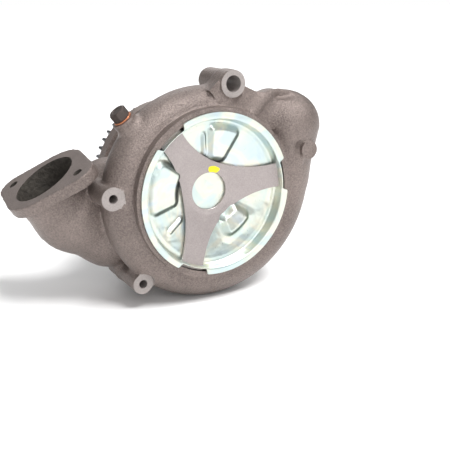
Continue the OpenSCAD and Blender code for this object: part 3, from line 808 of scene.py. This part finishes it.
def casting_finishes(points, faces):
    """Which finish each face of the casting has: 0 cast, 1 machined, 2 cast inside or drilled, 3 inlet face.
    Machined faces lie on a bore, or square to the shaft at the height of a machined plane."""
    near, on_plane, square = 0.35, 0.1, 0.995
    centre = points[faces].mean(1).T
    a, b, c, d = (points[faces[:, k]] for k in range(4))
    across = np.cross(c - a, d - b)
    flat = np.abs(across[:, 1]) > square * np.linalg.norm(across, axis=1)
    bored = np.min([np.abs(hole) for hole in bores(centre)], axis=0) < near
    u, v, w = inlet_frame(centre)
    from_axis = np.hypot(u, v)
    inlet_face = (np.abs(w) < 0.2) & (from_axis < 68)
    machined = bored | inlet_face
    for y in (LEFT_BOSS_Y, BOTTOM_BOSS_Y, LUG_Y[0], PORT_Y, 0.0, PILOT_LENGTH, RING_Y + 14, LEDGE_Y):
        reach = 103 if y > PORT_Y else 130
        machined |= flat & (np.abs(centre[1] - y) < on_plane) & (np.hypot(centre[0], centre[2]) < reach)
    inner = np.abs(passages(centre)) < near
    finish = np.where(inner & ~bored, 2, machined.astype(int))
    finish[inlet_face] = 3
    finish[(finish == 1) & (w > -13) & (w < -0.1) & (from_axis > 40) & (from_axis < 60)] = 2
    return finish


class PUMP_OT_housing(bpy.types.Operator):
    """Build the cast housing with its machined faces and bores"""

    bl_idname = "pump.housing"
    bl_label = "Housing"

    def execute(self, context):
        settings = context.scene.pump_casting
        cell, fillet = settings.cell / MM, settings.fillet / MM
        low, high = (np.array(corner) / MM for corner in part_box("pump_housing"))
        margin = 2.3 * cell
        points, faces = skin_of(lambda p: casting(p, fillet), low - margin, high + margin, cell)
        points = np.clip(points, low, high)
        skin = casting_finishes(points, faces)
        names = ("cast_housing", "machined_iron", "cast_inside", "flange_face")
        add_piece(
            "housing_casting", points, faces, "cast_housing", ["pump_housing"], skin=skin, finishes=names)
        return {"FINISHED"}


def pan_curve():
    """Half section of the pan's front side from its centre to its rim, as [radius, y]; corners are rounded by
    averaging each point with its neighbours twice."""
    corners = np.array([
        (0, -97.5), (21, -97.5), (25, -98.2), (64.5, -107.6), (66.5, -108.5), (71.0, -108.5),
        (71.8, -109.5), (73.2, -118.6), (74.0, -119.4), (80.0, -119.5)])
    reach = np.r_[0, np.cumsum(np.hypot(*np.diff(corners, axis=0).T))]
    s = np.linspace(0, reach[-1], 96)
    curve = np.stack([np.interp(s, reach, corners[:, k]) for k in range(2)], -1)
    for _ in range(2):
        curve[1:-1] = (curve[:-2] + 2 * curve[1:-1] + curve[2:]) / 4
    return curve


def smooth_step(value, low, high):
    """Runs from 0 to 1 as value goes from low to high, flat at both ends: t*t*(3 - 2t)."""
    t = np.clip((value - low) / (high - low), 0, 1)
    return t * t * (3 - 2 * t)


# pressed pads: first and last angle in degrees, first and last radius, and share of the full height
PADS = ((64, 93, 32, 65, 0.85), (146, 193, 37, 66, 0.75), (290, 326, 30, 50, 1.0), (286, 331, 26, 56, 0.25))
# pressed ribs: angle in degrees, first and last radius
RIBS = ((99, 33, 63), (216, 36, 62))
RIB_HEIGHT = 2.6
RIB_HALF_WIDTH = 2.4
# the pan's flange: where it starts, its width, and how deep the gaps beside the star's arms reach into it
FLANGE_START_R = 73.6
FLANGE_WIDTH = 6.4
GAP_FLOOR_R = 74.4
GAP_DEPTH = 5.6
GAP_EDGE = (14.6, 17.2)


def pad_rise(r, angle, pad):
    """Height of a pad with round corners and sides about 8 mm wide: a smooth step of how deep a point lies
    inside its outline."""
    first, last, r0, r1, share = pad
    middle, half = math.radians((first + last) / 2), math.radians((last - first) / 2)
    turn = np.abs(np.mod(angle - middle + np.pi, 2 * np.pi) - np.pi)
    side = r * (half - turn)
    corner_r, half_wall = 5, 4.2
    corner = np.hypot(np.maximum(corner_r - side, 0), np.maximum(corner_r - np.minimum(r - r0, r1 - r), 0))
    return share * smooth_step(corner_r - corner, -half_wall, half_wall)


def rib_rise(r, angle, rib):
    """Height of a radial rib: a bell across it, with a smooth step at each end."""
    at, r0, r1 = rib
    turn = np.mod(angle - math.radians(at) + np.pi, 2 * np.pi) - np.pi
    bell = np.exp(-((r * np.sin(turn) / RIB_HALF_WIDTH) ** 2))
    rise = bell * smooth_step(r, r0, r0 + 7) * smooth_step(r1 - r, 0, 6)
    return np.where(np.cos(turn) > 0, rise * RIB_HEIGHT, 0)


class PUMP_OT_cover(bpy.types.Operator):
    """Build the pressed front cover"""

    bl_idname = "pump.cover"
    bl_label = "Front cover"

    def execute(self, context):
        settings = context.scene.pump_cover
        curve = pan_curve()
        slope = np.gradient(curve, axis=0)
        normal = np.stack([-slope[:, 1], slope[:, 0]], -1)
        normal /= np.linalg.norm(normal, axis=1, keepdims=True)
        back = curve + normal * settings.sheet / MM
        back[0, 0] = 0
        profile = np.concatenate([curve, back[::-1]])
        angle = np.radians(np.arange(0, 360, 0.75))[:, None]
        r, y = profile[None, :, 0] + 0 * angle, profile[None, :, 1] + 0 * angle
        # the flange is left out beside each arm of the star, with rounded ends
        gap = np.ones_like(angle)
        for arm in STAR_ARMS:
            across = np.abs(80 * np.sin(angle - math.radians(arm)))
            near = np.cos(angle - math.radians(arm)) > 0
            gap = np.where(near, np.minimum(gap, smooth_step(across, *GAP_EDGE)), gap)
        rim = GAP_FLOOR_R + GAP_DEPTH * gap
        start = FLANGE_START_R
        r = np.where(r > start, start + (r - start) * (rim - start) / FLANGE_WIDTH, r)
        for pad in PADS:
            y = y - pad_rise(r, angle, pad) * settings.pad_height / MM
        for rib in RIBS:
            y = y - rib_rise(r, angle, rib)
        points = np.stack([r * np.cos(angle), y, r * np.sin(angle)], -1).reshape(-1, 3)
        faces = wrapped_faces(*r.shape)
        pan = add_piece("cover_pan", points, faces, "zinc_plated_sheet", ["front_cover"], crisp=60)
        self.mark_painted_shade(pan.data)
        return {"FINISHED"}

    def mark_painted_shade(self, mesh):
        """Stores painted shade at each point: how steep the sheet stands, from 0 on the flats to 1 on the walls of the
        pads; the walls that face the inlet count for less. The sheet's material darkens these walls with it as painted
        shade and painted dark reflection."""
        normals = np.empty(len(mesh.vertices) * 3, dtype=np.float32)
        mesh.vertex_normals.foreach_get("vector", normals)
        places = np.empty(len(mesh.vertices) * 3, dtype=np.float32)
        mesh.vertices.foreach_get("co", places)
        r = np.hypot(places[0::3], places[2::3]) / MM
        # Painted shade: walls that face right and down get the most, walls that face left and up the least.
        shaded_side = np.clip(0.55 + 0.45 * (normals[0::3] * 0.75 - normals[2::3] * 0.65) / 0.7, 0, 1)
        shade_share = smooth_step(np.abs(normals[1::3]), 0.97, 0.8) * shaded_side * (r < 70)
        painted_shade = mesh.attributes.new("painted_shade", "FLOAT", "POINT")
        painted_shade.data.foreach_set("value", shade_share.astype(np.float32))


class PUMP_OT_star(bpy.types.Operator):
    """Build the three-armed spring star and its paint mark"""

    bl_idname = "pump.star"
    bl_label = "Spring star"

    def execute(self, context):
        edge = context.scene.pump_cover.edge / MM
        hollow_at, hollow_r = STAR_WAIST_R + STAR_HOLLOW_R, STAR_HOLLOW_R
        angle = np.radians(np.arange(0, 360, 0.5))[:, None]
        rim = np.full_like(angle, STAR_RIM_R)
        for arm in STAR_ARMS:
            turn = np.mod(angle - math.radians(arm + 60) + np.pi, 2 * np.pi) - np.pi
            inside = hollow_r**2 - (hollow_at * np.sin(turn)) ** 2
            hollow = hollow_at * np.cos(turn) - np.sqrt(np.maximum(inside, 0))
            rim = np.where((inside > 0) & (np.cos(turn) > 0), np.minimum(rim, hollow), rim)
        # rows across one section: front from hole to rim, round the edge, and back again
        rows, sheet = 24, STAR_SHEET
        share = np.concatenate([np.linspace(0, 1, rows), np.linspace(1, 0, rows)])
        inset = np.zeros(2 * rows)
        inset[[0, rows - 1, rows, 2 * rows - 1]] = edge
        lift = np.concatenate([np.zeros(rows), np.full(rows, sheet)])
        ends = [rows, rows, 2 * rows, 2 * rows]
        share = np.insert(share, ends, [1, 1, 0, 0])
        inset = np.insert(inset, ends, [0, 0, 0, 0])
        lift = np.insert(lift, ends, [edge, sheet - edge, sheet - edge, edge])
        r = (STAR_HOLE_R + inset) + share * (rim - STAR_HOLE_R - 2 * inset)
        rise = np.maximum(r - STAR_FLAT_R, 0) / (STAR_RIM_R - STAR_FLAT_R)
        y = STAR_MID_Y + rise * (STAR_RIM_Y - STAR_MID_Y) + lift
        points = np.stack([r * np.cos(angle), y + 0 * angle, r * np.sin(angle)], -1).reshape(-1, 3)
        faces = wrapped_faces(*r.shape)
        add_piece("spring_star", points, faces, "spring_steel", ["cover_spring_star"], crisp=50)
        self.paint()
        return {"FINISHED"}

    def paint(self):
        """A dab of paint: a low dome over an uneven outline, whose radius is a sum of three cosines."""
        a = np.linspace(0, 2 * np.pi, 64, endpoint=False)[:, None]
        reach = 4.9 * (1 + 0.12 * np.cos(2 * a + 0.6) + 0.08 * np.cos(3 * a + 2) + 0.05 * np.cos(5 * a))
        share = np.array([0, 0.3, 0.6, 0.85, 1.0, 1.0, 0.6, 0])[None, :]
        lift = np.array([0.42, 0.40, 0.34, 0.22, 0.04, 0.0, 0.0, 0.0])[None, :]
        dab_r, dab_angle, wide, tall = STAR_HOLE_R + 4, math.radians(76), 1.15, 0.9
        x = dab_r * math.cos(dab_angle) + reach * share * np.cos(a) * wide
        z = dab_r * math.sin(dab_angle) + reach * share * np.sin(a) * tall
        sag = np.where(np.hypot(x, z) < STAR_HOLE_R + 0.2, 0.5, 0)
        y = STAR_MID_Y - lift + sag + 0 * a
        points, faces = np.stack([x, y, z], -1).reshape(-1, 3), wrapped_faces(*x.shape)
        add_piece("paint_dab", points, faces, "yellow_paint", ["paint_mark"])


class PUMP_OT_plug(bpy.types.Operator):
    """Build the vent plug and its copper washer"""

    bl_idname = "pump.plug"
    bl_label = "Vent plug"

    def execute(self, context):
        chamfer = context.scene.pump_fittings.plug_chamfer / MM
        a = np.linspace(0, 2 * np.pi, 192, endpoint=False)[:, None]
        corner = 7.5 / np.cos(np.mod(a, math.pi / 3) - math.pi / 6)
        height = np.array(
            [-14, -14, -13.2] + [WASHER_T] * 3 + [2.1, 9.0, 9.5, 10.0, 10.3, 10.5, 10.5, 10.1, 10.1])[None, :]
        limit = np.array([0, 5.4, 6.0, 6.0, 6.1, 7.6, 20, 20, 8.6, 8.0, 7.6, 7.1, 4.4, 4.1, 0])[None, :]
        r = np.minimum(limit + 0 * a, np.where(limit > 6.5, corner, limit))
        r = np.where(height > 10.5 - chamfer, np.minimum(r, 7.1 + (10.5 - height) * 1.6), r)
        points = np.stack([r * np.cos(a), r * np.sin(a), height + 0 * a], -1).reshape(-1, 3)
        points = facing(points, PLUG_AT, PLUG_ANGLE)
        add_piece("hex_plug", points, wrapped_faces(*r.shape), "blackened_steel", ["vent_plug"], crisp=25)
        t = np.linspace(0, 2 * np.pi, 24, endpoint=False)
        bead = np.sign(np.cos(t)) * np.abs(np.cos(t)) ** 0.5, np.sign(np.sin(t)) * np.abs(np.sin(t)) ** 0.5
        half = WASHER_T / 2
        r, h = 7.55 + 1.45 * bead[0][None, :] + 0 * a, half + half * bead[1][None, :] + 0 * a
        points = np.stack([r * np.cos(a), r * np.sin(a), h], -1).reshape(-1, 3)
        points = facing(points, PLUG_AT, PLUG_ANGLE)
        add_piece("copper_washer", points, wrapped_faces(*r.shape), "copper", ["plug_washer"])
        return {"FINISHED"}


# CAD pieces that only need their edges broken: (node, body)
MACHINED = (
    ("drive_gear", "rotor"),
    ("impeller", "rotor"),
    ("gear_nut", "rotor"),
    ("gear_washer", "rotor"),
    ("pump_shaft", "rotor"),
    ("bearing_carrier", "housing"),
    ("carrier_screws", "housing"),
    ("bearing_circlip", "housing"),
)


class PUMP_OT_machined(bpy.types.Operator):
    """Copy the machined CAD pieces and break their edges"""

    bl_idname = "pump.machined"
    bl_label = "Machined parts"

    def execute(self, context):
        settings = context.scene.pump_fittings
        for name, body in MACHINED:
            node = frame["nodes"][name]
            mesh = node.data.copy()
            mesh.name = name + "_finished"
            close_poles(mesh)
            mesh.polygons.foreach_set("use_smooth", np.ones(len(mesh.polygons), dtype=bool))
            mesh.set_sharp_from_angle(angle=math.radians(30))
            piece = bpy.data.objects.new(name + "_finished", mesh)
            bpy.context.scene.collection.objects.link(piece)
            bevel = piece.modifiers.new("break_edges", "BEVEL")
            bevel.width = settings.break_edge
            bevel.segments = settings.bevel_steps
            bevel.limit_method = "ANGLE"
            bevel.angle_limit = math.radians(40)
            bevel.use_clamp_overlap = True
            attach(piece, body)
            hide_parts(name)
        return {"FINISHED"}


def area_light(name, at, aim, size, power):
    """A square soft light at a place, aimed at another."""
    lamp = bpy.data.lights.new(name, "AREA")
    lamp.size, lamp.energy = size, power
    light = bpy.data.objects.new(name, lamp)
    light.location = at
    light.rotation_euler = (Vector(aim) - Vector(at)).to_track_quat("-Z", "Y").to_euler()
    bpy.context.scene.collection.objects.link(light)


class PUMP_OT_stage(bpy.types.Operator):
    """Lay the floor, hang the lights and set up the camera"""

    bl_idname = "pump.stage"
    bl_label = "Stage"

    def execute(self, context):
        scene, settings = context.scene, context.scene.pump_stage
        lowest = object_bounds()[0].z - 0.0005
        mesh = bpy.data.meshes.new("floor")
        half = 60.0
        corners = [(x, y, lowest) for x, y in ((-half, -half), (half, -half), (half, half), (-half, half))]
        mesh.from_pydata(corners, [], [(0, 1, 2, 3)])
        floor = bpy.data.objects.new("floor", mesh)
        scene.collection.objects.link(floor)
        material, tree, shader = start_material("pale_floor")
        shader.inputs["Base Color"].default_value = (*settings.floor_colour, 1)
        shader.inputs["Roughness"].default_value = 0.9
        mesh.materials.append(material)
        floor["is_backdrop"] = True
        self.light_studio(scene)
        camera = bpy.data.objects.new("camera", bpy.data.cameras.new("camera"))
        camera.data.lens, camera.data.sensor_width = settings.lens, 36.0
        camera.data.clip_start, camera.data.clip_end = 0.01, 50
        camera.location = settings.camera_at
        forward = Vector(settings.look).normalized()
        right = forward.cross(Vector((0, 0, 1))).normalized()
        turn = Matrix((right, right.cross(forward), -forward)).transposed()
        camera.rotation_euler = turn.to_euler()
        scene.collection.objects.link(camera)
        scene.camera = camera
        scene.view_settings.view_transform = "Standard"
        return {"FINISHED"}

    def light_studio(self, scene):
        """A white surround, brighter above and in front than below and behind, and three soft lights."""
        world = bpy.data.worlds.new("studio")
        world.use_nodes = True
        tree = world.node_tree
        background = tree.nodes["Background"]
        way = add_node(tree, "ShaderNodeTexCoord").outputs["Generated"]
        lean = add_node(tree, "ShaderNodeVectorMath", {0: way, 1: (0.1, -0.25, 0.9)}, operation="DOT_PRODUCT")
        strength = add_node(tree, "ShaderNodeMapRange", {
            "Value": lean.outputs["Value"],
            "From Min": -0.45, "From Max": 0.8, "To Min": 0.03, "To Max": 0.62})
        seen = add_node(tree, "ShaderNodeLightPath").outputs["Is Camera Ray"]
        level = add_node(tree, "ShaderNodeMix", {"Factor": seen, "A": strength.outputs["Result"], "B": 1.0})
        tree.links.new(level.outputs["Result"], background.inputs["Strength"])
        background.inputs["Color"].default_value = (1, 1, 1, 1)
        scene.world = world
        sun = bpy.data.lights.new("key", "SUN")
        sun.energy, sun.angle = 3.3, math.radians(25)
        key = bpy.data.objects.new("key", sun)
        key.rotation_euler = Vector((-0.2, 0.5, -1.0)).to_track_quat("-Z", "Y").to_euler()
        scene.collection.objects.link(key)
        area_light("front", (-0.5, -1.6, 0.7), (0, -0.08, 0), 0.8, 7)
        area_light("back", (0.5, 1.2, 1.1), (0, -0.05, 0), 0.8, 6)


class PUMP_PT_panel(bpy.types.Panel):
    """Lists the pump's settings and building steps"""

    bl_idname = "PUMP_PT_panel"
    bl_label = "Coolant pump"
    bl_space_type = "VIEW_3D"
    bl_region_type = "UI"
    bl_category = "Pump"

    def draw(self, context):
        column = self.layout.column()
        for group, names in (
            (context.scene.pump_casting, ("cell", "fillet", "light", "dark")),
            (context.scene.pump_cover, ("pad_height", "sheet", "edge", "paint")),
            (context.scene.pump_fittings, ("plug_chamfer", "break_edge", "bevel_steps")),
            (context.scene.pump_stage, ("lens", "camera_at", "look", "floor_colour")),
        ):
            for name in names:
                column.prop(group, name)
        for step in STEPS:
            column.operator(step.bl_idname)


STEPS = (
    PUMP_OT_finishes,
    PUMP_OT_housing,
    PUMP_OT_cover,
    PUMP_OT_star,
    PUMP_OT_plug,
    PUMP_OT_machined,
    PUMP_OT_stage,
)
CLASSES = (CastingSettings, CoverSettings, FittingSettings, StageSettings, *STEPS, PUMP_PT_panel)


def register():
    for cls in CLASSES:
        bpy.utils.register_class(cls)
    bpy.types.Scene.pump_casting = PointerProperty(type=CastingSettings)
    bpy.types.Scene.pump_cover = PointerProperty(type=CoverSettings)
    bpy.types.Scene.pump_fittings = PointerProperty(type=FittingSettings)
    bpy.types.Scene.pump_stage = PointerProperty(type=StageSettings)


def unregister():
    for name in ("pump_casting", "pump_cover", "pump_fittings", "pump_stage"):
        delattr(bpy.types.Scene, name)
    for cls in reversed(CLASSES):
        bpy.utils.unregister_class(cls)


def main():
    register()
    for step in STEPS:
        group, name = step.bl_idname.split(".")
        getattr(getattr(bpy.ops, group), name)()


if __name__ == "__main__":
    main()
